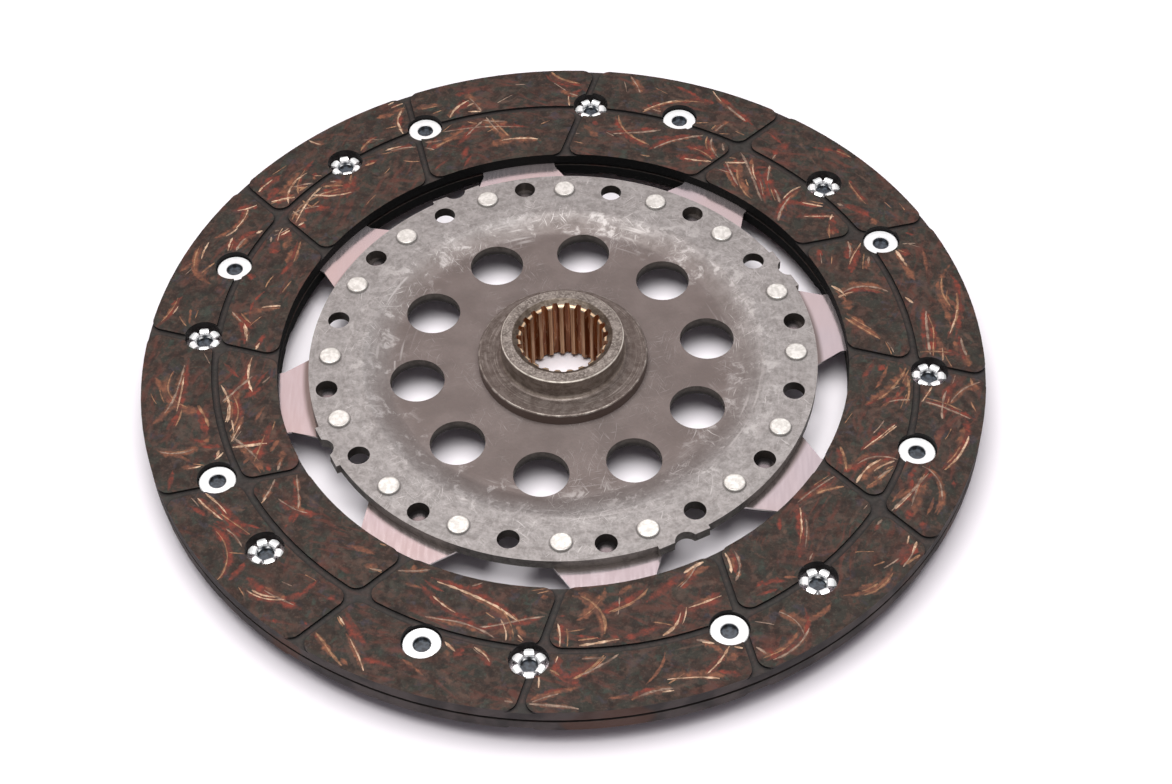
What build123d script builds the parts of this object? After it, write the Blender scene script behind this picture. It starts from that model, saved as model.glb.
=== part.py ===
"""Rigid clutch disc: splined hub, dished drive plate, cushion segments and two friction linings.

Millimetres, +Z up. The origin is the centre of the hub's lower end, which the disc stands on.
"""
import math
import os
from build123d import *

os.makedirs("parts", exist_ok=True)

# Heights
hub_length = 21.8
hub_foot_height = 6.6            # the lower lining's face stands this far above the hub's lower end

# Friction linings
disc_diameter = 228.0
lining_inner_diameter = 155.0
lining_thickness = 3.4
lining_gap = 0.9                 # between the two linings, filled by the waved cushion segments
groove_depth = 0.65
groove_width = 2.0
groove_count = 12
groove_direction = 13.4          # of the first straight groove, in degrees
groove_offset = 22.7             # of each straight groove's line from the disc's axis
ring_groove_radius = 95.85
ring_groove_ovality = 1.95       # the ring groove is slightly oval
ring_groove_long_axis = 120.0
ring_groove_shift = 0.6          # and slightly off centre
ring_groove_shift_direction = 59.0
pad_corner_radius = 3.2          # of the raised pads that the grooves leave

# Drive plate
plate_diameter = 138.1
plate_thickness = 3.0
dish_depth = 1.9
dish_inner_radius = 47.6
dish_outer_radius = 54.5
dish_bend_radius = 4.0
light_hole_count = 10
light_hole_diameter = 14.8
light_hole_circle_radius = 40.0
small_hole_diameter = 5.9
small_hole_outer_circle = 64.5   # radius, for the holes on the segments' centre lines
small_hole_inner_circle = 63.4   # radius, for the holes between the segments
land_count = 4
land_angle = 26.8                # of the first flat land on the rim, in degrees
land_width = 14.6
land_height = 0.7                # of the land's flat beyond the rim
land_root = 4.0                  # how far each land reaches into the plate
notch_diameter = 6.2             # of the round notch in each land
notch_centre_radius = 70.8

# Cushion segments
segment_count = 8
segment_angle = 10.2             # of the first segment's centre line
segment_thickness = 0.6
foot_inner_x = 59.2
foot_half_width = 15.0
foot_corner = 3.0
foot_side_length = 3.5           # straight side of the foot before it tapers to the neck
neck_x = 75.2
neck_half_width = 10.6
neck_length = 6.0
paddle_inner_radius = 86.0
paddle_edge_margin = 2.2         # from the paddle's outer edge to the linings' edge
paddle_half_angle = 20.4
paddle_shoulder = 9.0            # how far the neck flares to each side where it meets the paddle
paddle_overlap = 4.0             # the sheet is still flat this far inside the paddle's inner radius
step_start = 12.0                # the paddle's flat middle ends here, to either side
step_end = 19.0                  # and its stepped sides begin here

# Rivets of the drive plate
plate_rivet_circle_radius = 63.3
plate_rivet_half_angle = 10.25   # from the segment's centre line
plate_rivet_shank_diameter = 4.0
plate_rivet_head_diameter = 5.8
plate_rivet_head_height = 0.8
plate_rivet_head_round = 0.35

# Tubular rivets of the linings
lining_rivet_circle_radius = 99.0
lining_rivet_half_angle = 14.65  # from the segment's centre line
lining_rivet_shank_diameter = 5.6
lining_rivet_wall = 0.6
head_diameter = 9.7
head_height = 0.9
head_edge = 0.2                  # chamfer round the flat head
recess_depth = 1.5
recess_edge = 0.25               # chamfer at the mouth of its recess
counterbore_diameter = 10.4
counterbore_depth = 2.4
curl_count = 6                   # petals that the split end is curled into
curl_width = 2.4
curl_height = 2.3
curl_tip_radius = 4.6
clearance_hole_diameter = 10.2
curl_turns = (25, 25, -10, 28, -15, -22, 20, 20)

# Hub
nose_diameter = 33.3
nose_chamfer = 0.5
nose_root_radius = 1.2
collar_diameter = 46.0
collar_height = 3.4              # above the plate
collar_edge_radius = 0.5
barrel_diameter = 37.0
lip_overhang = 2.0               # of the rolled lip beyond the barrel
lip_height = 1.0
tooth_count = 23
tooth_angle = 92.2               # of the first tooth's centre line
spline_minor_diameter = 22.1
tooth_height = 1.35
space_root_width = 1.2
space_mouth_width = 2.0
bore_mouth_width = 2.55          # of the countersink at either end of the bore
bore_mouth_depth = 1.6

# Clearances
shank_clearance = 0.1            # all round a shank in its hole
past = 1.0                       # how far a cutter reaches past the faces it cuts

# Heights and radii that follow
disc_radius = disc_diameter / 2
lining_inner_radius = lining_inner_diameter / 2
plate_radius = plate_diameter / 2
paddle_outer_radius = disc_radius - paddle_edge_margin
lower_lining_top = hub_foot_height + lining_thickness
upper_lining_bottom = lower_lining_top + lining_gap
upper_lining_top = upper_lining_bottom + lining_thickness
middle_height = (lower_lining_top + upper_lining_bottom) / 2
wave_height = (lining_gap - segment_thickness) / 2
segment_bottom = middle_height - segment_thickness / 2
segment_top = middle_height + segment_thickness / 2
rim_top = segment_top + plate_thickness
dish_top = rim_top - dish_depth
dish_bottom = dish_top - plate_thickness
segment_angles = [segment_angle + 360 / segment_count * i for i in range(segment_count)]


def turned_over(shape):
    """The same piece on the other side of the disc, turned about the first segment's centre line."""
    way = math.radians(segment_angle)
    axis = Axis((0, 0, middle_height), (math.cos(way), math.sin(way), 0))
    return shape.rotate(axis, 180)


def at_polar(radius, angle, height=0.0):
    """A place on a circle about the disc's axis."""
    return Pos(radius * math.cos(math.radians(angle)), radius * math.sin(math.radians(angle)), height)


def drill(diameter, radius, angle, bottom, top):
    """A round cutter on a circle about the disc's axis."""
    return at_polar(radius, angle, bottom) * extrude(Circle(diameter / 2), top - bottom)


def mirrored(points):
    """The same points on the other side of the X axis, in reverse order."""
    return [(x, -y) for x, y in reversed(points)]


def ring_groove_point(angle, widening):
    """A point of the oval ring groove's edge."""
    swing = math.cos(math.radians(2 * (angle - ring_groove_long_axis)))
    lean = math.cos(math.radians(angle - ring_groove_shift_direction))
    radius = ring_groove_radius + ring_groove_ovality * swing + ring_groove_shift * lean + widening
    return (radius * math.cos(math.radians(angle)), radius * math.sin(math.radians(angle)))


def ring_groove_outline(widening):
    """The area inside one edge of the ring groove: arcs between the straight grooves."""
    step = 360 / groove_count
    start = groove_direction + math.degrees(math.asin(groove_offset / ring_groove_radius))
    arcs = []
    for i in range(groove_count):
        ends = [start + step * i, start + step * (i + 0.5), start + step * (i + 1)]
        points = [ring_groove_point(angle, widening) for angle in ends]
        arcs.append(ThreePointArc(*points))
    return make_face(arcs)


def lining():
    """The upper lining: a flat ring with a net of shallow grooves, counterbored for its own rivets."""
    ring = Circle(disc_radius) - Circle(lining_inner_radius)
    band = ring_groove_outline(groove_width / 2) - ring_groove_outline(-groove_width / 2)
    pads = ring - band
    for i in range(groove_count):
        turn = Rot(0, 0, groove_direction + 360 / groove_count * i)
        strip = Pos(disc_radius, groove_offset) * Rectangle(disc_diameter * 0.7, groove_width)
        pads -= turn * strip
    grooves = ring - fillet(pads.vertices(), pad_corner_radius)
    body = Pos(0, 0, upper_lining_bottom) * extrude(ring, lining_thickness)
    body -= Pos(0, 0, upper_lining_top - groove_depth) * extrude(grooves, groove_depth + past)
    shank_hole = lining_rivet_shank_diameter + 2 * shank_clearance
    place = lining_rivet_circle_radius
    seat = upper_lining_top - counterbore_depth
    above = upper_lining_top + past
    below = upper_lining_bottom - past
    cutters = []
    for angle in segment_angles:
        own = angle + lining_rivet_half_angle
        other = angle - lining_rivet_half_angle
        cutters.append(drill(counterbore_diameter, place, own, seat, above))
        cutters.append(drill(shank_hole, place, own, below, above))
        cutters.append(drill(clearance_hole_diameter, place, other, below, above))
    return body.cut(*cutters)


def segment_outline():
    """The flat shape of a cushion segment that lies along +X."""
    reach = disc_diameter
    spread = reach * math.tan(math.radians(paddle_half_angle))
    wedge = Polygon((0, 0), (reach, -spread), (reach, spread), align=None)
    paddle = (Circle(paddle_outer_radius) - Circle(paddle_inner_radius)) & wedge
    side = [
        (foot_inner_x, -foot_half_width + foot_corner),
        (foot_inner_x + foot_corner, -foot_half_width),
        (foot_inner_x + foot_corner + foot_side_length, -foot_half_width),
        (neck_x, -neck_half_width),
        (neck_x + neck_length, -neck_half_width),
        (paddle_inner_radius + 2, -neck_half_width - paddle_shoulder),
    ]
    return Polygon(*side, *mirrored(side), align=None) + paddle


def segment():
    """A cushion segment along +X: flat foot and neck, paddle stepped up on one side and down on the other."""
    line = [
        (-disc_radius, -wave_height),
        (-step_end, -wave_height),
        (-step_start, 0),
        (step_start, 0),
        (step_end, wave_height),
        (disc_radius, wave_height),
    ]
    upper = [(y, segment_top + z) for y, z in line]
    lower = [(y, segment_bottom + z) for y, z in reversed(line)]
    stepped = extrude(Plane.YZ * Polygon(*upper, *lower, align=None), disc_radius, both=True)
    level_end = paddle_inner_radius - paddle_overlap
    level = Pos(0, 0, middle_height) * Box(2 * level_end, disc_diameter, segment_thickness)
    low = segment_bottom - past
    high = segment_top + past
    outer_part = Pos(level_end + disc_radius, 0, middle_height) * Box(disc_diameter, disc_diameter, high - low)
    outline = Pos(0, 0, low) * extrude(segment_outline(), high - low)
    blade = (outline & stepped & outer_part) + (outline & level)
    lining_hole = lining_rivet_shank_diameter + 2 * shank_clearance
    plate_hole = plate_rivet_shank_diameter + 2 * shank_clearance
    cutters = []
    for side in (-1, 1):
        cutters.append(drill(lining_hole, lining_rivet_circle_radius, side * lining_rivet_half_angle, low, high))
        cutters.append(drill(plate_hole, plate_rivet_circle_radius, side * plate_rivet_half_angle, low, high))
    return blade.cut(*cutters)


def drive_plate():
    """The dished plate, with its lightening holes, rim holes and rivet holes, and four notched lands."""
    bore = barrel_diameter / 2
    top = [(bore, dish_top), (dish_inner_radius, dish_top), (dish_outer_radius, rim_top), (plate_radius, rim_top)]
    bottom = [(r, z - plate_thickness) for r, z in reversed(top)]
    section = Plane.XZ * Polygon(*top, *bottom, align=None)
    bends = [v for v in section.vertices() if bore + past < v.X < plate_radius - past]
    body = revolve(fillet(bends, dish_bend_radius), Axis.Z)
    land_length = land_root + land_height
    land = Box(land_length, land_width, plate_thickness)
    land = Pos(plate_radius + land_height - land_length / 2, 0, rim_top - plate_thickness / 2) * land
    turns = [Rot(0, 0, land_angle + 360 / land_count * i) for i in range(land_count)]
    body = body.fuse(*[turn * land for turn in turns])
    low = dish_bottom - past
    high = rim_top + past
    cutters = [turn * drill(notch_diameter, notch_centre_radius, 0, low, high) for turn in turns]
    for i in range(light_hole_count):
        angle = segment_angle + 360 / light_hole_count * i
        cutters.append(drill(light_hole_diameter, light_hole_circle_radius, angle, low, high))
    shank_hole = plate_rivet_shank_diameter + 2 * shank_clearance
    for angle in segment_angles:
        between = angle + 180 / segment_count
        cutters.append(drill(small_hole_diameter, small_hole_outer_circle, angle, low, high))
        cutters.append(drill(small_hole_diameter, small_hole_inner_circle, between, low, high))
        for side in (-1, 1):
            place = angle + side * plate_rivet_half_angle
            cutters.append(drill(shank_hole, plate_rivet_circle_radius, place, low, high))
    return body.cut(*cutters)


def plate_rivet():
    """A solid rivet with a flat button head on the plate and the same under the segment."""
    shank = extrude(Circle(plate_rivet_shank_diameter / 2), rim_top - segment_bottom)
    button = extrude(Circle(plate_rivet_head_diameter / 2), plate_rivet_head_height)
    upper = fillet(button.edges().sort_by(Axis.Z)[-1], plate_rivet_head_round)
    lower = upper.mirror(Plane.XY)
    return Pos(0, 0, segment_bottom) * (shank + lower) + Pos(0, 0, rim_top) * upper


def rivet_curl(outer, inner, grip):
    """One petal of a tubular rivet's split end, curled outwards along +X below the grip height."""
    tip = curl_tip_radius
    crown = grip - curl_height
    tube_end = grip - 0.1
    curl = Plane.XZ * make_face(Polyline(
        (inner, tube_end),
        (inner, crown + 0.9),
        (inner + 0.3, crown + 0.25),
        (inner + 1.0, crown),
        (tip - 0.6, crown + 0.25),
        (tip, crown + 0.8),
        (tip - 0.4, crown + 1.2),
        (outer + 0.9, crown + 0.75),
        (outer + 0.3, crown + 0.65),
        (outer, crown + 1.0),
        (outer - 0.2, tube_end),
        close=True,
    ))
    half = curl_width / 2
    side = [(0, half), (tip - 0.9, half), (tip - 0.25, half - 0.4), (tip + 0.1, half - 0.9)]
    leaf = Polygon(*side, *mirrored(side), align=None)
    return extrude(curl, half, both=True) & Pos(0, 0, crown) * extrude(leaf, curl_height, both=True)


def lining_rivet():
    """A tubular rivet: flat head in the upper lining, split end curled out under the segment."""
    outer = lining_rivet_shank_diameter / 2
    inner = outer - lining_rivet_wall
    head = head_diameter / 2
    seat = upper_lining_top - counterbore_depth
    head_top = seat + head_height
    recess_floor = head_top - recess_depth
    grip = segment_bottom + wave_height
    tube_end = grip - 0.5
    tube_floor = tube_end + 0.8
    section = Plane.XZ * make_face(Polyline(
        (0, tube_floor),
        (0, recess_floor),
        (inner, recess_floor),
        (inner, head_top - recess_edge),
        (inner + recess_edge, head_top),
        (head - head_edge, head_top),
        (head, head_top - head_edge),
        (head, seat),
        (outer, seat),
        (outer, tube_end),
        (inner, tube_end),
        (inner, tube_floor),
        close=True,
    ))
    petal = rivet_curl(outer, inner, grip)
    body = revolve(section, Axis.Z)
    return body.fuse(*[Rot(0, 0, 360 / curl_count * i) * petal for i in range(curl_count)])


def vertices_at(face, x, z):
    """The corners of a section in the XZ plane that lie at one place."""
    return [v for v in face.vertices() if abs(v.X - x) < 0.01 and abs(v.Z - z) < 0.01]


def hub():
    """The splined hub: nose, collar on the plate, barrel through it and a rolled lip beneath."""
    nose = nose_diameter / 2
    collar = collar_diameter / 2
    barrel = barrel_diameter / 2
    lip = barrel + lip_overhang
    collar_top = dish_top + collar_height
    lip_bottom = dish_bottom - lip_height
    minor = spline_minor_diameter / 2
    mouth = minor + bore_mouth_width
    section = Plane.XZ * Polygon(
        (minor, bore_mouth_depth),
        (mouth, 0),
        (nose - nose_chamfer, 0),
        (nose, nose_chamfer),
        (nose, lip_bottom),
        (lip, lip_bottom),
        (lip, dish_bottom),
        (barrel, dish_bottom),
        (barrel, dish_top),
        (collar, dish_top),
        (collar, collar_top),
        (nose, collar_top),
        (nose, hub_length - nose_chamfer),
        (nose - nose_chamfer, hub_length),
        (mouth, hub_length),
        (minor, hub_length - bore_mouth_depth),
        align=None,
    )
    section = fillet(vertices_at(section, nose, collar_top), nose_root_radius)
    section = fillet(vertices_at(section, collar, collar_top), collar_edge_radius)
    body = revolve(section, Axis.Z)
    flare = (space_mouth_width - space_root_width) / 2 / tooth_height * past
    side = [
        (minor - past, -space_mouth_width / 2 - flare),
        (minor + tooth_height, -space_root_width / 2),
    ]
    space = extrude(Polygon(*side, *mirrored(side), align=None), hub_length)
    first_space = tooth_angle + 180 / tooth_count
    return body.cut(*[Rot(0, 0, first_space + 360 / tooth_count * i) * space for i in range(tooth_count)])


def save(shape, name):
    """Write one node."""
    export_step(shape, "parts/" + name + ".step")


upper_lining = lining()
save(upper_lining, "upper_lining")
save(turned_over(upper_lining), "lower_lining")
save(hub(), "hub")
save(drive_plate(), "drive_plate")

one_segment = segment()
one_rivet = plate_rivet()
for number, angle in enumerate(segment_angles, start=1):
    save(Rot(0, 0, angle) * one_segment, f"cushion_segment_{number}")
    sides = [angle - plate_rivet_half_angle, angle + plate_rivet_half_angle]
    pair = [at_polar(plate_rivet_circle_radius, side) * one_rivet for side in sides]
    save(Compound(children=pair), f"segment_rivets_{number}")

tubular = lining_rivet()
heads_up = []
for angle, turn in zip(segment_angles, curl_turns):
    place = at_polar(lining_rivet_circle_radius, angle + lining_rivet_half_angle)
    heads_up.append(place * Rot(0, 0, turn) * tubular)
upper_rivets = Compound(children=heads_up)
save(upper_rivets, "upper_lining_rivets")
save(turned_over(upper_rivets), "lower_lining_rivets")
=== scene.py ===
"""Looks of the clutch disc: studio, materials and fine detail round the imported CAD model.

Metres and +Z up, as in the frame. Materials work in millimetres, from object coordinates.
"""

import math
import random

import bmesh
import bpy
from mathutils import Euler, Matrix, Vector, noise
from mathutils.bvhtree import BVHTree


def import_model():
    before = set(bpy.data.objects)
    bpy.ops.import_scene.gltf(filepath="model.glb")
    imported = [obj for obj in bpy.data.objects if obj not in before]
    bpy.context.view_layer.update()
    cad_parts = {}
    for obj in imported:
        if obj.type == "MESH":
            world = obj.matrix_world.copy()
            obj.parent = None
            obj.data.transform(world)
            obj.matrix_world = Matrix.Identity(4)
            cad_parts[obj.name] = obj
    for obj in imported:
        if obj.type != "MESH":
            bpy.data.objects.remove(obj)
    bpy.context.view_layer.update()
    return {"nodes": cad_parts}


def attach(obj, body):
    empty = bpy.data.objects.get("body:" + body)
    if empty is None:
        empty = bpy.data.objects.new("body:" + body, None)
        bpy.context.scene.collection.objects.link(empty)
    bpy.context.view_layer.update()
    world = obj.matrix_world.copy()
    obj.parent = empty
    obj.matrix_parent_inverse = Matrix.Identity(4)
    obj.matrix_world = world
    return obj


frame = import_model()

MM = 0.001

# Heights and radii of the CAD model, in millimetres
HUB_TOP = 21.8
LINING_TOP = 14.3
LINING_BOTTOM = 6.6
LINING_MIDDLE = 10.45
GROOVE_DEPTH = 0.65
LINING_INNER = 77.5
LINING_OUTER = 114.0
RIVET_CIRCLE = 99.0
SEGMENT_ANGLE = 10.2
LINING_RIVET_HALF_ANGLE = 14.65
PLATE_RIVET_CIRCLE = 63.3
PLATE_RIVET_HALF_ANGLE = 10.25
SEGMENTS = 8
BORE_MOUTH = 13.6
SPLINE_ROOT = 12.4
SPLINE_CREST = 11.05
NOSE_RADIUS = 16.65
COLLAR_RADIUS = 23.0
COLLAR_TOP = 15.25
DISH_BOTTOM = 8.85
DISH_RADIUS = 47.6               # where the dish starts to rise
RIM_RADIUS = 54.5                # where the flat rim begins
PLATE_RIVET_HEAD = 2.9           # radius
PLATE_RADIUS = 69.05
SMALL_HOLE_CIRCLE = 64.5


# ---------------------------------------------------------------- node helpers

class Graph:
    """A node material, written as expressions on sockets and numbers."""

    def __init__(self, name, tree=None):
        if tree is None:
            self.material = bpy.data.materials.new(name)
            self.material.use_nodes = True
            tree = self.material.node_tree
            self.shader = tree.nodes["Principled BSDF"]
        self.tree = tree
        self.place = None

    def add(self, kind, **settings):
        """A new node with these properties."""
        made = self.tree.nodes.new(kind)
        for key, value in settings.items():
            setattr(made, key, value)
        return made

    def plug(self, value, socket):
        """Sets a socket to a number or colour, or links it."""
        if isinstance(value, bpy.types.NodeSocket):
            self.tree.links.new(value, socket)
        elif socket.type == "RGBA" and len(value) == 3:
            socket.default_value = (*value, 1)
        else:
            socket.default_value = value

    def math(self, operation, *values):
        """A Math node."""
        made = self.add("ShaderNodeMath", operation=operation)
        for value, socket in zip(values, made.inputs):
            self.plug(value, socket)
        return made.outputs[0]

    def vector(self, operation, *values):
        """A Vector Math node. Scale takes its number last."""
        made = self.add("ShaderNodeVectorMath", operation=operation)
        if operation == "SCALE":
            self.plug(values[0], made.inputs[0])
            self.plug(values[1], made.inputs["Scale"])
            return made.outputs[0]
        for value, socket in zip(values, made.inputs):
            self.plug(value, socket)
        return made.outputs["Value" if operation in ("LENGTH", "DISTANCE", "DOT_PRODUCT") else "Vector"]

    def millimetres(self):
        """Object coordinates in millimetres."""
        if self.place is None:
            point = self.add("ShaderNodeTexCoord").outputs["Object"]
            self.place = self.vector("SCALE", point, 1 / MM)
        return self.place

    def split(self, vector):
        """The three parts of a vector."""
        made = self.add("ShaderNodeSeparateXYZ")
        self.plug(vector, made.inputs[0])
        return made.outputs

    def join(self, x, y, z):
        """A vector from three parts."""
        made = self.add("ShaderNodeCombineXYZ")
        for value, socket in zip((x, y, z), made.inputs):
            self.plug(value, socket)
        return made.outputs[0]

    def cylinder(self):
        """(radius, angle in radians, height) about the disc's axis, in millimetres."""
        x, y, z = self.split(self.millimetres())
        radius = self.vector("LENGTH", self.join(x, y, 0.0))
        return radius, self.math("ARCTAN2", y, x), z

    def noise(self, scale, vector=None, detail=2.0, rough=0.5):
        """A noise of about 0 to 1, with this many features to a millimetre."""
        made = self.add("ShaderNodeTexNoise")
        self.plug(vector or self.millimetres(), made.inputs["Vector"])
        self.plug(scale, made.inputs["Scale"])
        self.plug(detail, made.inputs["Detail"])
        self.plug(rough, made.inputs["Roughness"])
        return made.outputs["Fac"]

    def warp(self, vector, scale, amount):
        """The vector pushed about by a noise, amount in millimetres."""
        made = self.add("ShaderNodeTexNoise")
        self.plug(vector, made.inputs["Vector"])
        self.plug(scale, made.inputs["Scale"])
        centred = self.vector("SUBTRACT", made.outputs["Color"], (0.5, 0.5, 0.5))
        return self.vector("ADD", vector, self.vector("SCALE", centred, 2 * amount))

    def ramp(self, value, low, high, start=0.0, end=1.0):
        """Start below low, end above high, smooth between."""
        made = self.add("ShaderNodeMapRange", interpolation_type="SMOOTHSTEP")
        self.plug(value, made.inputs["Value"])
        for name, number in zip(("From Min", "From Max", "To Min", "To Max"), (low, high, start, end)):
            self.plug(number, made.inputs[name])
        return made.outputs[0]

    def band(self, value, low, high, edge):
        """1 between low and high, with soft edges."""
        rise = self.ramp(value, low - edge, low + edge)
        fall = self.ramp(value, high - edge, high + edge, 1.0, 0.0)
        return self.math("MULTIPLY", rise, fall)

    def mix(self, share, first, second):
        """A mix of two colours."""
        made = self.add("ShaderNodeMix", data_type="RGBA")
        self.plug(share, made.inputs["Factor"])
        self.plug(first, made.inputs["A"])
        self.plug(second, made.inputs["B"])
        return made.outputs["Result"]

    def blend(self, share, first, second):
        """A mix of two numbers."""
        made = self.add("ShaderNodeMix", data_type="FLOAT")
        self.plug(share, made.inputs["Factor"])
        self.plug(first, made.inputs["A"])
        self.plug(second, made.inputs["B"])
        return made.outputs["Result"]

    def bump(self, height, depth, strength=1.0, normal=None):
        """A bump from a height of 0 to 1 that stands for this depth in millimetres."""
        made = self.add("ShaderNodeBump")
        self.plug(height, made.inputs["Height"])
        made.inputs["Distance"].default_value = depth * MM
        made.inputs["Strength"].default_value = strength
        if normal is not None:
            self.plug(normal, made.inputs["Normal"])
        return made.outputs["Normal"]

    def upward(self):
        """The size of the true normal's vertical part, 1 on level faces."""
        normal = self.add("ShaderNodeNewGeometry").outputs["True Normal"]
        return self.math("ABSOLUTE", self.split(normal)[2])

    def local(self, circle, first):
        """Coordinates from the nearest of eight places on a circle: along the radius and across it."""
        step = 2 * math.pi / SEGMENTS
        radius, angle = self.cylinder()[:2]
        shifted = self.math("SUBTRACT", angle, math.radians(first) - step / 2)
        turn = self.math("SUBTRACT", self.math("FLOORED_MODULO", shifted, step), step / 2)
        out = self.math("SUBTRACT", self.math("MULTIPLY", radius, self.math("COSINE", turn)), circle)
        across = self.math("MULTIPLY", radius, self.math("SINE", turn))
        return out, across

    def near(self, circle, first):
        """The distance from the nearest of eight places on a circle."""
        return self.vector("LENGTH", self.join(*self.local(circle, first), 0.0))

    def plate_rivet(self):
        """The distance from the nearest rivet of the plate."""
        lower = self.near(PLATE_RIVET_CIRCLE, SEGMENT_ANGLE - PLATE_RIVET_HALF_ANGLE)
        upper = self.near(PLATE_RIVET_CIRCLE, SEGMENT_ANGLE + PLATE_RIVET_HALF_ANGLE)
        return self.math("MINIMUM", lower, upper)

    def finish(self, color, roughness, metallic=0.0, normal=None, specular=0.5):
        """Plugs the results into the shader and returns the material."""
        self.plug(color, self.shader.inputs["Base Color"])
        self.plug(roughness, self.shader.inputs["Roughness"])
        self.plug(metallic, self.shader.inputs["Metallic"])
        self.shader.inputs["Specular IOR Level"].default_value = specular
        if normal is not None:
            self.plug(normal, self.shader.inputs["Normal"])
        return self.material


# ---------------------------------------------------------------- materials

def streaks(g, direction, along, across, seed, low, high):
    """Soft wisps that run in one direction, in degrees, and wander a little."""
    point = g.warp(g.millimetres(), 0.05, 5.0)
    turned = g.add("ShaderNodeMapping", vector_type="POINT")
    g.plug(point, turned.inputs["Vector"])
    turned.inputs["Rotation"].default_value = (0, 0, math.radians(-direction))
    turned.inputs["Location"].default_value = (seed * 37.0, seed * 11.0, seed * 5.0)
    stretched = g.vector("MULTIPLY", turned.outputs[0], (1 / along, 1 / across, 0.3))
    return g.ramp(g.noise(1.0, stretched, detail=2.5, rough=0.55), low, high)


def lining_matrix(g):
    """The friction material between its yarns: colour and a height for its grain."""
    place = g.millimetres()
    flow = g.warp(place, 0.12, 2.5)
    color = g.mix(g.ramp(g.noise(0.20, flow, 3.0), 0.42, 0.60), (0.028, 0.018, 0.014), (0.026, 0.026, 0.021))
    color = g.mix(g.ramp(g.noise(0.36, flow, 3.0, 0.6), 0.52, 0.64), color, (0.058, 0.034, 0.026))
    violet = g.ramp(g.noise(0.26, g.warp(place, 0.2, 3.0), 2.0), 0.58, 0.72)
    color = g.mix(violet, color, (0.037, 0.032, 0.038))
    green = g.ramp(g.noise(0.30, g.warp(place, 0.3, 2.0), 2.0), 0.58, 0.72)
    color = g.mix(green, color, (0.031, 0.039, 0.031))
    haze = g.ramp(g.noise(0.065, g.warp(place, 0.1, 4.0), 3.0), 0.42, 0.60, 0.15, 1.0)
    x, y = g.split(place)[:2]
    around = g.vector("NORMALIZE", g.join(g.math("MULTIPLY", y, -1.0), x, 0.0))
    tints = [(0.086, 0.034, 0.025), (0.066, 0.046, 0.036), (0.104, 0.034, 0.025)]
    for k in range(6):
        direction = 8 + 30 * k
        way = (math.cos(math.radians(direction)), math.sin(math.radians(direction)), 0)
        follows = g.math("ABSOLUTE", g.vector("DOT_PRODUCT", around, way))
        share = streaks(g, direction, 13.0, (2.4, 3.0, 1.7)[k % 3], k + 1, 0.50, 0.68)
        share = g.math("MULTIPLY", share, g.ramp(follows, 0.40, 0.90, 0.05, 0.72))
        color = g.mix(g.math("MULTIPLY", share, haze), color, tints[k % 3])
    speck = g.noise(1.5, place, 3.0, 0.65)
    color = g.mix(g.ramp(speck, 0.46, 0.78, 0.0, 0.28), color, (0.125, 0.098, 0.080))
    pits = g.ramp(g.noise(0.40, g.warp(place, 0.8, 0.5), 3.0, 0.6), 0.34, 0.50, 0.60, 0.0)
    color = g.mix(pits, color, (0.012, 0.010, 0.009))
    return color, speck


def lining_material():
    """A pressed friction ring: marbled faces, plain grooves with painted shade in their corners, a dark
    machined outer edge, and its other walls painted nearly black as shade.
    """
    g = Graph("lining")
    place = g.millimetres()
    radius, _, z = g.cylinder()
    from_middle = g.math("ABSOLUTE", g.math("SUBTRACT", z, LINING_MIDDLE))
    half = LINING_TOP - LINING_MIDDLE
    level = g.ramp(g.upward(), 0.5, 0.9)
    raised = g.ramp(from_middle, half - GROOVE_DEPTH * 0.7, half - GROOVE_DEPTH * 0.3)
    face = g.math("MULTIPLY", level, raised)
    floor = g.math("MULTIPLY", level, g.math("SUBTRACT", 1.0, raised))
    marbled, speck = lining_matrix(g)
    fine = g.noise(0.8, place, 4.0, 0.6)
    wall = g.mix(g.ramp(g.noise(0.12, place, 3.0), 0.40, 0.65), (0.058, 0.050, 0.050), (0.102, 0.084, 0.081))
    rust = g.band(g.noise(0.035, g.warp(place, 0.1, 3.0), 2.0), 0.60, 0.90, 0.03)
    wall = g.mix(g.math("MULTIPLY", rust, 0.6), wall, (0.13, 0.060, 0.040))
    # Painted shade: the lining's inner wall is painted nearly black.
    inner = g.ramp(radius, LINING_INNER + 0.5, LINING_INNER + 2.0, 1.0, 0.0)
    wall = g.mix(inner, wall, (0.002, 0.002, 0.002))
    # Painted shade: the walls of the grooves and rivet holes are painted nearly black; the outer edge keeps
    # the wall's own colour.
    outer = g.ramp(radius, LINING_OUTER - 0.6, LINING_OUTER - 0.2)
    wall = g.mix(g.math("MAXIMUM", inner, outer), (0.012, 0.011, 0.011), wall)
    groove = g.mix(g.ramp(fine, 0.3, 0.7), (0.019, 0.018, 0.017), (0.034, 0.031, 0.030))
    groove = g.mix(0.35, groove, marbled)
    # Painted shade: the grooves' floors darken in their corners, from an ambient occlusion node.
    corner = g.add("ShaderNodeAmbientOcclusion", samples=6, only_local=True)
    corner.inputs["Distance"].default_value = 1.0 * MM
    corner_shade = g.ramp(corner.outputs["AO"], 0.68, 1.0, 1.0, 0.0)
    groove = g.mix(corner_shade, groove, (0.007, 0.006, 0.006))
    color = g.mix(face, wall, marbled)
    color = g.mix(floor, color, groove)
    coarse = g.noise(0.35, place, 3.0)
    height = g.math("ADD", g.math("MULTIPLY", speck, 0.6), g.math("MULTIPLY", coarse, 0.8))
    roughness = g.blend(floor, g.ramp(coarse, 0.3, 0.7, 0.66, 0.80), 0.60)
    roughness = g.blend(g.math("MULTIPLY", inner, g.math("SUBTRACT", 1.0, level)), roughness, 1.0)
    return g.finish(color, roughness, 0.0, g.bump(height, 0.12), specular=0.22)


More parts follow.
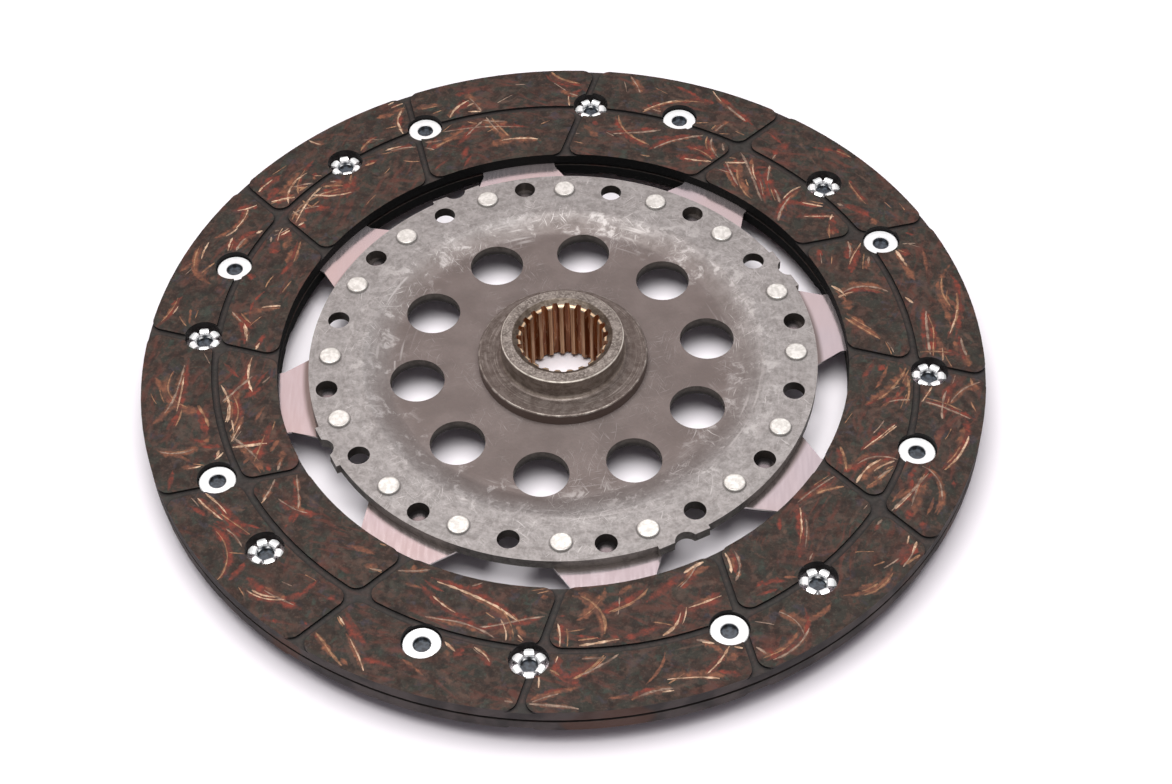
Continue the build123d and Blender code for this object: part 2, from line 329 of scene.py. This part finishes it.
def fibre_material(name, color, second, crest, softness):
    """Yarn in the lining: mottled along its length, and lost in the matrix where it sinks to the face."""
    g = Graph(name)
    place = g.millimetres()
    matrix, speck = lining_matrix(g)
    z = g.split(place)[2]
    half = LINING_TOP - LINING_MIDDLE
    above = g.math("SUBTRACT", g.math("ABSOLUTE", g.math("SUBTRACT", z, LINING_MIDDLE)), half)
    rise = g.math("DIVIDE", above, crest)
    rough = g.math("SUBTRACT", g.noise(1.1, place, 3.0, 0.65), 0.5)
    ragged = g.math("ADD", rise, g.math("MULTIPLY", rough, 1.8 * softness))
    shown = g.ramp(ragged, 0.0, 0.15 + softness * 0.85)
    shown = g.math("MULTIPLY", shown, g.ramp(g.noise(0.35, place, 2.0), 0.35, 0.60, 1.0 - softness, 1.0))
    body = g.mix(g.ramp(g.noise(0.5, place, 3.0, 0.6), 0.36, 0.62), second, color)
    body = g.mix(g.ramp(speck, 0.35, 0.55, 0.35, 0.0), body, (0.045, 0.030, 0.024))
    flat = g.add("ShaderNodeNewGeometry").outputs["True Normal"]
    return g.finish(g.mix(shown, matrix, body), 0.65, 0.0, g.bump(speck, 0.08, 1.0, flat), specular=0.2)


def steel_scuffs(g, amount):
    """Fine scratches and rubbed patches of handled steel."""
    place = g.millimetres()
    total = None
    for direction, seed in ((20, 1), (75, 2), (128, 3)):
        line = streaks(g, direction, 5.0, 0.30, seed + 10, 0.60, 0.76)
        total = line if total is None else g.math("MAXIMUM", total, line)
    patches = g.ramp(g.noise(0.07, g.warp(place, 0.1, 3.0), 3.0), 0.46, 0.60)
    return g.math("MULTIPLY", g.math("MULTIPLY", total, patches), amount)


def plate_material():
    """Pressed sheet steel: warm and dull in the dish, paler on the rim, with rubbed scuffs; painted shade
    along the bend, round the rivets and on the walls of the holes.
    """
    g = Graph("plate")
    place = g.millimetres()
    radius, angle, z = g.cylinder()
    level = g.ramp(g.upward(), 0.80, 0.95)
    wander = g.math("MULTIPLY", g.math("SUBTRACT", g.noise(0.05, place, 2.0), 0.5), 12.0)
    rim = g.ramp(g.math("ADD", radius, wander), DISH_RADIUS - 3.6, RIM_RADIUS + 2.5)
    mottle = g.noise(0.42, g.warp(place, 0.3, 1.5), 5.0, 0.74)
    round_about = g.join(g.math("MULTIPLY", radius, 1.2), g.math("MULTIPLY", angle, 9.0), z)
    brushed = g.noise(1.0, round_about, 4.0, 0.65)
    dish = g.mix(g.ramp(g.noise(0.10, place, 3.0), 0.35, 0.65), (0.130, 0.105, 0.098), (0.160, 0.131, 0.123))
    pale = g.mix(g.ramp(mottle, 0.36, 0.64), (0.168, 0.153, 0.147), (0.300, 0.281, 0.275))
    pale = g.mix(g.ramp(brushed, 0.35, 0.70, 0.0, 0.45), pale, (0.330, 0.316, 0.312))
    pale = g.mix(0.10, pale, (0.48, 0.465, 0.455))
    color = g.mix(rim, dish, pale)
    color = g.mix(g.ramp(g.noise(1.4, place, 3.0), 0.45, 0.75, 0.0, 0.30), color, (0.12, 0.105, 0.100))
    # Painted shade: a darker band along the dish's bend.
    uneven = g.math("ADD", radius, g.math("MULTIPLY", wander, 0.2))
    bend_shade = g.band(uneven, DISH_RADIUS + 0.4, RIM_RADIUS - 2.5, 2.5)
    color = g.mix(g.math("MULTIPLY", bend_shade, 0.35), color, (0.13, 0.108, 0.100))
    rings = g.noise(0.8, g.join(radius, g.math("MULTIPLY", angle, 2.5), 0.0), 2.0)
    at_bend = g.band(radius, DISH_RADIUS - 4.6, RIM_RADIUS + 1.5, 3.0)
    arcs = g.math("MULTIPLY", g.ramp(rings, 0.58, 0.70), at_bend)
    arcs = g.math("MULTIPLY", arcs, g.ramp(g.noise(0.06, place, 2.0), 0.48, 0.60, 0.0, 0.7))
    outward = g.ramp(radius, DISH_RADIUS - 11.6, DISH_RADIUS + 2.4, 0.35, 1.0)
    scuffs = g.math("MULTIPLY", steel_scuffs(g, 0.75), outward)
    cloud = g.ramp(g.noise(0.20, g.warp(place, 0.15, 4.0), 5.0, 0.70), 0.53, 0.66, 0.0, 0.50)
    beyond_bend = g.band(radius, DISH_RADIUS - 2.6, RIM_RADIUS + 5.5, 4.0)
    scuffs = g.math("MAXIMUM", scuffs, g.math("MULTIPLY", cloud, beyond_bend))
    scuffs = g.math("MAXIMUM", scuffs, g.math("MULTIPLY", arcs, 0.6))
    color = g.mix(scuffs, color, (0.54, 0.52, 0.51))
    # Painted shade: a dark ring round each rivet's head.
    ring = g.band(g.plate_rivet(), PLATE_RIVET_HEAD - 0.3, PLATE_RIVET_HEAD + 0.3, 0.2)
    color = g.mix(g.math("MULTIPLY", ring, 0.50), color, (0.07, 0.062, 0.058))
    # Painted shade on the walls: the holes' walls darken lower down and the small holes' walls are dark; the
    # outer edge is plain steel grey, and the mottled darkening is the steel's own.
    painted_light_by_height = g.ramp(z, DISH_BOTTOM + 0.4, DISH_BOTTOM + 2.0)
    wall = g.mix(painted_light_by_height, (0.040, 0.034, 0.031), (0.150, 0.128, 0.112))
    wall = g.mix(g.ramp(radius, DISH_RADIUS + 2.4, RIM_RADIUS + 1.5), wall, (0.046, 0.038, 0.032))
    wall = g.mix(g.ramp(radius, PLATE_RADIUS - 1.75, PLATE_RADIUS - 1.35), wall, (0.205, 0.188, 0.172))
    wall = g.mix(g.ramp(mottle, 0.35, 0.60, 0.45, 0.0), wall, (0.03, 0.028, 0.024))
    color = g.mix(level, wall, color)
    roughness = g.math("SUBTRACT", g.ramp(mottle, 0.3, 0.7, 0.62, 0.50), g.math("MULTIPLY", scuffs, 0.15))
    height = g.math("ADD", g.math("MULTIPLY", g.noise(1.2, place, 3.0), 0.6), g.math("MULTIPLY", mottle, 0.6))
    return g.finish(color, roughness, 0.5, g.bump(height, 0.06))


def segment_material():
    """Rolled spring steel, nearly a mirror."""
    g = Graph("spring")
    place = g.millimetres()
    soft = g.noise(0.035, place, 2.0)
    color = g.mix(g.ramp(soft, 0.35, 0.65), (0.80, 0.70, 0.71), (0.76, 0.70, 0.74))
    fine = g.noise(1.5, g.vector("MULTIPLY", place, (1.0, 0.1, 1.0)), 2.0)
    level = g.ramp(g.upward(), 0.5, 0.9)
    radius, _, z = g.cylinder()
    upper = g.ramp(z, LINING_MIDDLE - 0.1, LINING_MIDDLE + 0.1)
    hole = g.near(SMALL_HOLE_CIRCLE, SEGMENT_ANGLE)
    shade = g.math("MULTIPLY", g.ramp(hole, 0.8, 2.0, 0.50, 0.93), g.ramp(hole, 3.0, 3.4, 1.0, 0.0))
    color = g.mix(g.math("MULTIPLY", shade, upper), color, (0.010, 0.009, 0.009))
    # Painted shadow along the plate's edge, on the upper side only: a black line and a soft grey band beside
    # it.
    under_rim = PLATE_RADIUS - 3.05
    edge_shadow = g.math("MULTIPLY", g.band(radius, under_rim, PLATE_RADIUS + 0.75, 0.12), upper)
    color = g.mix(edge_shadow, color, (0.016, 0.014, 0.013))
    haze = g.math("MULTIPLY", g.band(radius, under_rim, PLATE_RADIUS + 1.6, 0.8), upper)
    color = g.mix(haze, color, (0.30, 0.26, 0.25))
    color = g.mix(level, (0.70, 0.64, 0.64), color)
    return g.finish(color, g.ramp(fine, 0.3, 0.7, 0.14, 0.22), 0.9, g.bump(fine, 0.004))


def hub_material():
    """Turned dark steel outside and coppery teeth inside."""
    g = Graph("hub")
    place = g.millimetres()
    radius, angle, z = g.cylinder()
    ring = g.join(radius, g.math("MULTIPLY", angle, 0.8), z)
    turning = g.noise(2.2, ring, 3.0, 0.6)
    blotch = g.noise(0.45, g.warp(place, 0.3, 1.5), 5.0, 0.70)
    specks = g.noise(1.8, place, 3.0, 0.7)
    level = g.ramp(g.upward(), 0.6, 0.95)
    dark = g.mix(g.ramp(blotch, 0.38, 0.62), (0.074, 0.056, 0.048), (0.118, 0.096, 0.086))
    dark = g.mix(g.ramp(turning, 0.50, 0.74, 0.0, 0.55), dark, (0.20, 0.175, 0.160))
    dark = g.mix(g.ramp(specks, 0.55, 0.75, 0.0, 0.35), dark, (0.26, 0.235, 0.21))
    top = g.math("MULTIPLY", level, g.ramp(z, HUB_TOP - 0.4, HUB_TOP - 0.1))
    pale = g.mix(g.ramp(blotch, 0.38, 0.62), (0.105, 0.088, 0.077), (0.220, 0.194, 0.174))
    pale = g.mix(g.ramp(specks, 0.45, 0.70, 0.0, 0.6), pale, (0.46, 0.42, 0.38))
    color = g.mix(top, dark, pale)
    # Painted light: the nose's side wall is painted lighter than the hub's dark steel, as lit; the turning
    # marks on it are the steel's own.
    turned = g.mix(g.ramp(blotch, 0.38, 0.62), (0.200, 0.160, 0.132), (0.330, 0.275, 0.232))
    turned = g.mix(g.ramp(turning, 0.50, 0.74, 0.0, 0.5), turned, (0.46, 0.40, 0.35))
    flank = g.mix(g.ramp(radius, NOSE_RADIUS + 0.75, NOSE_RADIUS + 1.75), turned, (0.150, 0.112, 0.096))
    color = g.mix(level, flank, color)
    # Painted highlight: a broken bright line along the top edge of the nose.
    nose_rim = g.band(radius, NOSE_RADIUS - 0.35, NOSE_RADIUS + 0.10, 0.10)
    nose_highlight = g.math("MULTIPLY", nose_rim, g.ramp(z, HUB_TOP - 0.50, HUB_TOP - 0.30))
    breaks = g.ramp(g.noise(0.5, place, 3.0), 0.34, 0.55, 0.45, 1.0)
    color = g.mix(g.math("MULTIPLY", nose_highlight, breaks), color, (0.92, 0.86, 0.77))
    # Painted highlight: a broken bright line along the collar's top edge.
    collar_rim = g.ramp(radius, COLLAR_RADIUS - 0.55, COLLAR_RADIUS - 0.25)
    collar_highlight = g.math("MULTIPLY", collar_rim, g.band(z, COLLAR_TOP - 0.50, COLLAR_TOP + 0.15, 0.12))
    breaks = g.ramp(g.noise(0.35, place, 3.0), 0.42, 0.60, 0.10, 0.7)
    color = g.mix(g.math("MULTIPLY", collar_highlight, breaks), color, (0.44, 0.40, 0.36))
    arcs = g.noise(2.6, g.join(radius, g.math("MULTIPLY", angle, 0.35), 0.0), 2.0)
    on_collar = g.band(radius, NOSE_RADIUS + 0.85, COLLAR_RADIUS - 0.7, 0.4)
    arcs = g.math("MULTIPLY", g.ramp(arcs, 0.56, 0.66), on_collar)
    color = g.mix(g.math("MULTIPLY", arcs, g.ramp(blotch, 0.4, 0.6, 0.1, 0.5)), color, (0.30, 0.265, 0.24))
    # Painted shade: the countersink at the mouth of the bore is painted dark olive.
    olive = g.mix(g.ramp(blotch, 0.4, 0.6), (0.055, 0.040, 0.028), (0.120, 0.095, 0.074))
    color = g.mix(g.ramp(radius, BORE_MOUTH - 0.25, BORE_MOUTH + 0.15, 1.0, 0.0), color, olive)
    bore = g.ramp(radius, SPLINE_ROOT + 0.01, SPLINE_ROOT + 0.05, 1.0, 0.0)
    crest = g.ramp(radius, SPLINE_CREST + 0.05, SPLINE_CREST + 0.35, 1.0, 0.0)
    stripes = g.noise(1.2, g.join(g.math("MULTIPLY", angle, 12.0), 0.0, g.math("MULTIPLY", z, 0.06)), 3.0)
    copper = g.mix(g.ramp(stripes, 0.35, 0.65), (0.34, 0.165, 0.080), (0.58, 0.36, 0.21))
    # Painted shade: between its teeth the spline is darker and redder than on their crests; the pale lines in
    # it are marks.
    sunk = g.mix(g.ramp(stripes, 0.40, 0.65), (0.20, 0.058, 0.016), (0.42, 0.155, 0.052))
    line = g.band(g.math("ABSOLUTE", g.math("SUBTRACT", stripes, 0.5)), -1.0, 0.012, 0.008)
    sunk = g.mix(g.math("MULTIPLY", line, 0.6), sunk, (0.60, 0.36, 0.22))
    copper = g.mix(crest, sunk, copper)
    # Painted shade and highlight: the chamfered ends of the teeth are painted dark olive like the bore's
    # mouth, with a pale painted highlight on each tooth.
    from_middle = g.math("ABSOLUTE", g.math("SUBTRACT", z, HUB_TOP / 2))
    near_end = g.ramp(from_middle, HUB_TOP / 2 - 1.75, HUB_TOP / 2 - 1.55)
    slope = g.math("MULTIPLY", near_end, g.ramp(g.upward(), 0.3, 0.6))
    copper = g.mix(slope, copper, olive)
    tip_highlights = g.math("MULTIPLY", slope, g.band(radius, SPLINE_CREST + 0.35, SPLINE_ROOT - 0.50, 0.15))
    copper = g.mix(g.math("MULTIPLY", tip_highlights, 0.85), copper, (0.84, 0.60, 0.38))
    color = g.mix(bore, color, copper)
    roughness = g.blend(bore, g.ramp(turning, 0.3, 0.7, 0.52, 0.38), 0.36)
    height = g.math("ADD", g.math("MULTIPLY", turning, 0.9), g.math("MULTIPLY", specks, 0.7))
    return g.finish(color, roughness, g.blend(bore, 0.60, 0.5), g.bump(height, 0.05))


def lining_rivet_material(name, first):
    """Bright zinc round a bore that is painted dark as shade, with six slits in its wall."""
    g = Graph(name)
    place = g.millimetres()
    out, across = g.local(RIVET_CIRCLE, first)
    away = g.vector("LENGTH", g.join(out, across, 0.0))
    dents = g.noise(0.9, place, 3.0, 0.6)
    color = g.mix(g.ramp(dents, 0.35, 0.65), (0.88, 0.90, 0.91), (0.97, 0.98, 0.98))
    # Painted shade: the recess in the head and the bore are painted dark and not metallic, darkest in the
    # middle, with six darker slits.
    slit = g.math("COSINE", g.math("MULTIPLY", g.math("ARCTAN2", across, out), 6.0))
    bore = g.mix(g.ramp(slit, -0.2, 0.6), (0.055, 0.068, 0.085), (0.012, 0.014, 0.018))
    deep = g.mix(g.ramp(dents, 0.4, 0.6), (0.018, 0.022, 0.030), (0.050, 0.062, 0.078))
    bore = g.mix(g.ramp(away, 1.5, 1.9), deep, bore)
    inside = g.ramp(away, 2.18, 2.36, 1.0, 0.0)
    color = g.mix(inside, color, bore)
    metal = g.blend(inside, 0.35, 0.0)
    return g.finish(color, g.blend(inside, 0.28, 0.5), metal, g.bump(dents, 0.04))


def plate_rivet_material():
    """Plain rivet steel, hammered, with a flat struck centre."""
    g = Graph("upset_steel")
    place = g.millimetres()
    away = g.plate_rivet()
    dents = g.noise(0.8, place, 3.0, 0.6)
    color = g.mix(g.ramp(dents, 0.35, 0.65), (0.56, 0.55, 0.52), (0.74, 0.73, 0.70))
    # Painted shade: the head darkens towards its edge, along an uneven line.
    uneven = g.math("ADD", away, g.math("MULTIPLY", g.math("SUBTRACT", g.noise(0.45, place, 2.0), 0.5), 1.6))
    color = g.mix(g.ramp(uneven, 2.30, 2.75, 0.0, 0.55), color, (0.30, 0.28, 0.26))
    height = g.math("MULTIPLY", dents, 0.8)
    return g.finish(color, 0.45, 0.5, g.bump(height, 0.10))


def floor_material():
    """Matt white paper."""
    g = Graph("floor")
    place = g.millimetres()
    grain = g.noise(0.02, place, 4.0)
    paper = g.mix(g.ramp(grain, 0.3, 0.7), (0.54, 0.53, 0.55), (0.57, 0.56, 0.58))
    path = g.add("ShaderNodeLightPath")
    shown = g.math("MAXIMUM", path.outputs["Is Camera Ray"], path.outputs["Is Transmission Ray"])
    radius = g.cylinder()[0]
    seen = g.mix(g.ramp(radius, 118.0, 240.0), (0.86, 0.83, 0.87), (1.30, 1.28, 1.31))
    color = g.mix(shown, paper, seen)
    g.plug((1.0, 1.0, 1.0), g.shader.inputs["Emission Color"])
    g.plug(g.math("MULTIPLY", shown, g.ramp(radius, 320.0, 700.0)), g.shader.inputs["Emission Strength"])
    return g.finish(color, 1.0, 0.0, None, specular=0.0)


# ---------------------------------------------------------------- yarns in the linings

def mesh_object(name, bm, materials):
    """A new object from a bmesh, which is freed."""
    mesh = bpy.data.meshes.new(name)
    bm.to_mesh(mesh)
    bm.free()
    made = bpy.data.objects.new(name, mesh)
    bpy.context.scene.collection.objects.link(made)
    for material in materials:
        mesh.materials.append(material)
    return made


def add_strand(bm, points, widths, crest, side, material):
    """A closed, flattened strand along points on the lining's face; side is 1 on top and -1 below."""
    rings = []
    widest = max(widths)
    lift = Vector((0, 0, side))
    for i, (point, width) in enumerate(zip(points, widths)):
        before = points[max(i - 1, 0)]
        after = points[min(i + 1, len(points) - 1)]
        along = (after - before).normalized()
        across = Vector((-along.y, along.x, 0)) * width / 2
        rings.append([
            bm.verts.new((point + across - lift * 0.01) * MM),
            bm.verts.new((point + lift * crest * width / widest) * MM),
            bm.verts.new((point - across - lift * 0.01) * MM),
            bm.verts.new((point - lift * 0.12) * MM),
        ])
    faces = []
    for first, second in zip(rings, rings[1:]):
        for k in range(4):
            faces.append((first[k], first[(k + 1) % 4], second[(k + 1) % 4], second[k]))
    faces.append(tuple(reversed(rings[0])))
    faces.append(tuple(rings[-1]))
    for corners in faces:
        if side < 0:
            corners = tuple(reversed(corners))
        face = bm.faces.new(corners)
        face.material_index = material
        face.smooth = False


CREAM, GOLD, BEIGE, ORANGE, RUST, BROWN = range(6)
YARN_CREST = 0.10
PATCH_CREST = 0.06
TIGHTEST_BEND = 0.10             # radians a millimetre, so that no strand closes a loop


def wander(rng, length, stride):
    """Offsets and headings of a path that starts at the origin along X and bends a little."""
    heading = 0.0
    bend = rng.gauss(0, 0.045)
    change = rng.gauss(0, 0.0040)
    x, y = 0.0, 0.0
    path = [(x, y, heading)]
    for _ in range(max(5, int(length / stride))):
        x += stride * math.cos(heading)
        y += stride * math.sin(heading)
        heading += (bend + rng.gauss(0, 0.03)) * stride
        bend = max(-TIGHTEST_BEND, min(TIGHTEST_BEND, bend + change * stride))
        path.append((x, y, heading))
    return path


def yarns(name, node, side, bundles, seed, materials):
    """The yarn ends that lie in one face of a lining, kept to its raised pads."""
    rng = random.Random(seed)
    tree = BVHTree.FromObject(frame["nodes"][node], bpy.context.evaluated_depsgraph_get())
    face_z = LINING_TOP if side > 0 else LINING_BOTTOM
    bm = bmesh.new()

    def on_pad(x, y):
        start = Vector((x, y, face_z + side * 5.0)) * MM
        hit = tree.ray_cast(start, Vector((0, 0, -side)))[0]
        return hit is not None and abs(hit.z / MM - face_z) < 0.02

    def origin_and_heading():
        """A place on the ring and a direction there; the directions swirl slowly from place to place."""
        radius = math.sqrt(rng.uniform((LINING_INNER + 0.8) ** 2, (LINING_OUTER - 1.8) ** 2))
        turn = rng.uniform(0, 2 * math.pi)
        place = Vector((radius * math.cos(turn), radius * math.sin(turn), seed * 10.0))
        swirl = noise.noise(place / 13.0)
        return place, turn + math.pi / 2 + 1.6 * swirl + rng.gauss(0, 0.16)

    def lay(path, place, heading, offset, width, ends, kind):
        """Lays a strand beside a path, cut wherever it leaves a pad; ends is its width there."""
        run = []
        runs = [run]
        for x, y, turn in path:
            x -= offset * math.sin(turn)
            y += offset * math.cos(turn)
            px = place.x + x * math.cos(heading) - y * math.sin(heading)
            py = place.y + x * math.sin(heading) + y * math.cos(heading)
            side_x = -math.sin(heading + turn) * width * 0.6
            side_y = math.cos(heading + turn) * width * 0.6
            if all(on_pad(px + k * side_x, py + k * side_y) for k in (-1, -0.5, 0, 0.5, 1)):
                run.append(Vector((px, py, face_z)))
            else:
                run = []
                runs.append(run)
        crest = YARN_CREST if kind < ORANGE else PATCH_CREST
        for run in runs:
            if len(run) < 3:
                continue
            widths = []
            for i in range(len(run)):
                t = i / (len(run) - 1)
                taper = min(1.0, ends + 3.5 * min(t, 1 - t))
                widths.append(width * taper * rng.uniform(0.75, 1.15))
            add_strand(bm, run, widths, crest, side, kind)

    def part(path, low, high):
        """A random stretch of a path, this share of its length."""
        count = max(4, int(len(path) * rng.uniform(low, high)))
        first = rng.randrange(0, max(1, len(path) - count))
        return path[first:first + count]

    for _ in range(bundles):
        place, heading = origin_and_heading()
        path = wander(rng, rng.uniform(11.0, 30.0), 1.0)
        lay(path, place, heading, 0.0, rng.uniform(2.4, 4.6), 0.30, rng.choice((RUST, RUST, ORANGE)))
        lay(part(path, 0.4, 0.7), place, heading, rng.uniform(-1.5, 1.5), rng.uniform(1.4, 3.0), 0.30,
            rng.choice((RUST, ORANGE, BROWN)))
        pale = rng.choice((CREAM, GOLD, BEIGE))
        strand = part(path, 0.45, 0.90)
        offset = rng.uniform(-0.9, 0.9)
        lay(strand, place, heading, offset, rng.uniform(1.5, 2.3), 0.4, ORANGE)
        lay(strand, place, heading, offset, rng.uniform(0.70, 1.25), 0.5, pale)
        if rng.random() < 0.4:
            lay(part(path, 0.25, 0.5), place, heading, rng.uniform(-1.5, 1.5), rng.uniform(0.45, 0.85), 0.6,
                rng.choice((CREAM, GOLD)))
    for _ in range(bundles):
        place, heading = origin_and_heading()
        path = wander(rng, rng.uniform(5.0, 14.0), 1.0)
        lay(path, place, heading, 0.0, rng.uniform(1.2, 2.8), 0.15, rng.choice((RUST, BROWN, BROWN, ORANGE)))
    for _ in range(bundles // 2):
        place, heading = origin_and_heading()
        path = wander(rng, rng.uniform(2.0, 6.0), 0.6)
        kind = rng.choice((GOLD, GOLD, BEIGE))
        lay(path, place, heading, 0.0, rng.uniform(0.35, 0.60), 0.6, kind)
    made = mesh_object(name, bm, materials)
    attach(made, "root")


# ---------------------------------------------------------------- build

def paint(node, material):
    """Gives a CAD node its material."""
    slots = frame["nodes"][node].material_slots
    for one in slots:
        one.material = material


lining = lining_material()
paint("upper_lining", lining)
paint("lower_lining", lining)
paint("drive_plate", plate_material())
paint("hub", hub_material())
plain = plate_rivet_material()
paint("upper_lining_rivets", lining_rivet_material("zinc_upper", SEGMENT_ANGLE + LINING_RIVET_HALF_ANGLE))
paint("lower_lining_rivets", lining_rivet_material("zinc_lower", SEGMENT_ANGLE - LINING_RIVET_HALF_ANGLE))
spring = segment_material()
for index in range(1, SEGMENTS + 1):
    paint(f"cushion_segment_{index}", spring)
    paint(f"segment_rivets_{index}", plain)

fibres = [
    fibre_material("yarn_cream", (0.66, 0.46, 0.32), (0.36, 0.21, 0.130), YARN_CREST, 0.30),
    fibre_material("yarn_gold", (0.37, 0.20, 0.110), (0.19, 0.090, 0.050), YARN_CREST, 0.35),
    fibre_material("yarn_beige", (0.34, 0.24, 0.18), (0.17, 0.110, 0.085), YARN_CREST, 0.35),
    fibre_material("yarn_orange", (0.225, 0.088, 0.048), (0.120, 0.050, 0.034), PATCH_CREST, 0.60),
    fibre_material("yarn_rust", (0.200, 0.040, 0.026), (0.095, 0.029, 0.022), PATCH_CREST, 0.60),
    fibre_material("yarn_brown", (0.100, 0.058, 0.042), (0.062, 0.040, 0.032), PATCH_CREST, 0.80),
]
yarns("upper_yarns", "upper_lining", 1, 190, 7, fibres)
yarns("lower_yarns", "lower_lining", -1, 190, 11, fibres)


# ---------------------------------------------------------------- studio

def floor():
    """The sheet that the disc stands on."""
    bm = bmesh.new()
    bmesh.ops.create_grid(bm, x_segments=1, y_segments=1, size=3.0)
    made = mesh_object("floor", bm, [floor_material()])


def lamp(name, energy, size, place, target, color):
    """A square softbox that faces a point."""
    data = bpy.data.lights.new(name, "AREA")
    data.energy = energy
    data.size = size
    data.color = color
    made = bpy.data.objects.new(name, data)
    made.location = place
    made.rotation_euler = (Vector(target) - Vector(place)).to_track_quat("-Z", "Y").to_euler()
    bpy.context.scene.collection.objects.link(made)


def world():
    """Soft room light, and the room that metal reflects: rosier to the left, darker towards the camera."""
    made = bpy.data.worlds.new("room")
    bpy.context.scene.world = made
    made.use_nodes = True
    g = Graph("room", made.node_tree)
    background = made.node_tree.nodes["Background"]
    x, y, z = g.split(g.add("ShaderNodeTexCoord").outputs["Generated"])
    path = g.add("ShaderNodeLightPath")
    back = g.ramp(y, -0.2, 0.5)
    room = g.mix(back, (0.26, 0.24, 0.24), (0.68, 0.60, 0.61))
    room = g.mix(g.ramp(x, -0.16, 0.14), g.mix(back, (0.26, 0.24, 0.24), (0.78, 0.60, 0.57)), room)
    low = g.ramp(z, 0.05, 0.40, 1.0, 0.0)
    room = g.mix(low, room, (0.55, 0.54, 0.56))
    seen = g.math("MAXIMUM", path.outputs["Is Camera Ray"], path.outputs["Is Transmission Ray"])
    fill = g.mix(g.ramp(y, -0.5, 0.3), (0.30, 0.28, 0.31), (0.06, 0.055, 0.07))
    color = g.mix(path.outputs["Is Glossy Ray"], fill, room)
    g.plug(g.mix(seen, color, (0.97, 0.97, 0.98)), background.inputs["Color"])
    background.inputs["Strength"].default_value = 1.0


def camera():
    """The photographer's place, well above the disc and close to it."""
    data = bpy.data.cameras.new("camera")
    data.lens = 69.35
    data.sensor_width = 36.0
    made = bpy.data.objects.new("camera", data)
    made.location = (0.01331, -0.40270, 0.47663)
    made.rotation_euler = Euler([math.radians(turn) for turn in (40.0665, 0.8708, 0.0)], "XYZ")
    bpy.context.scene.collection.objects.link(made)
    bpy.context.scene.camera = made


floor()
world()
camera()
lamp("key", 15.0, 0.8, (-0.03, -0.06, 1.0), (0, 0, 0), (1.0, 0.985, 0.97))
bpy.context.scene.view_settings.view_transform = "Standard"
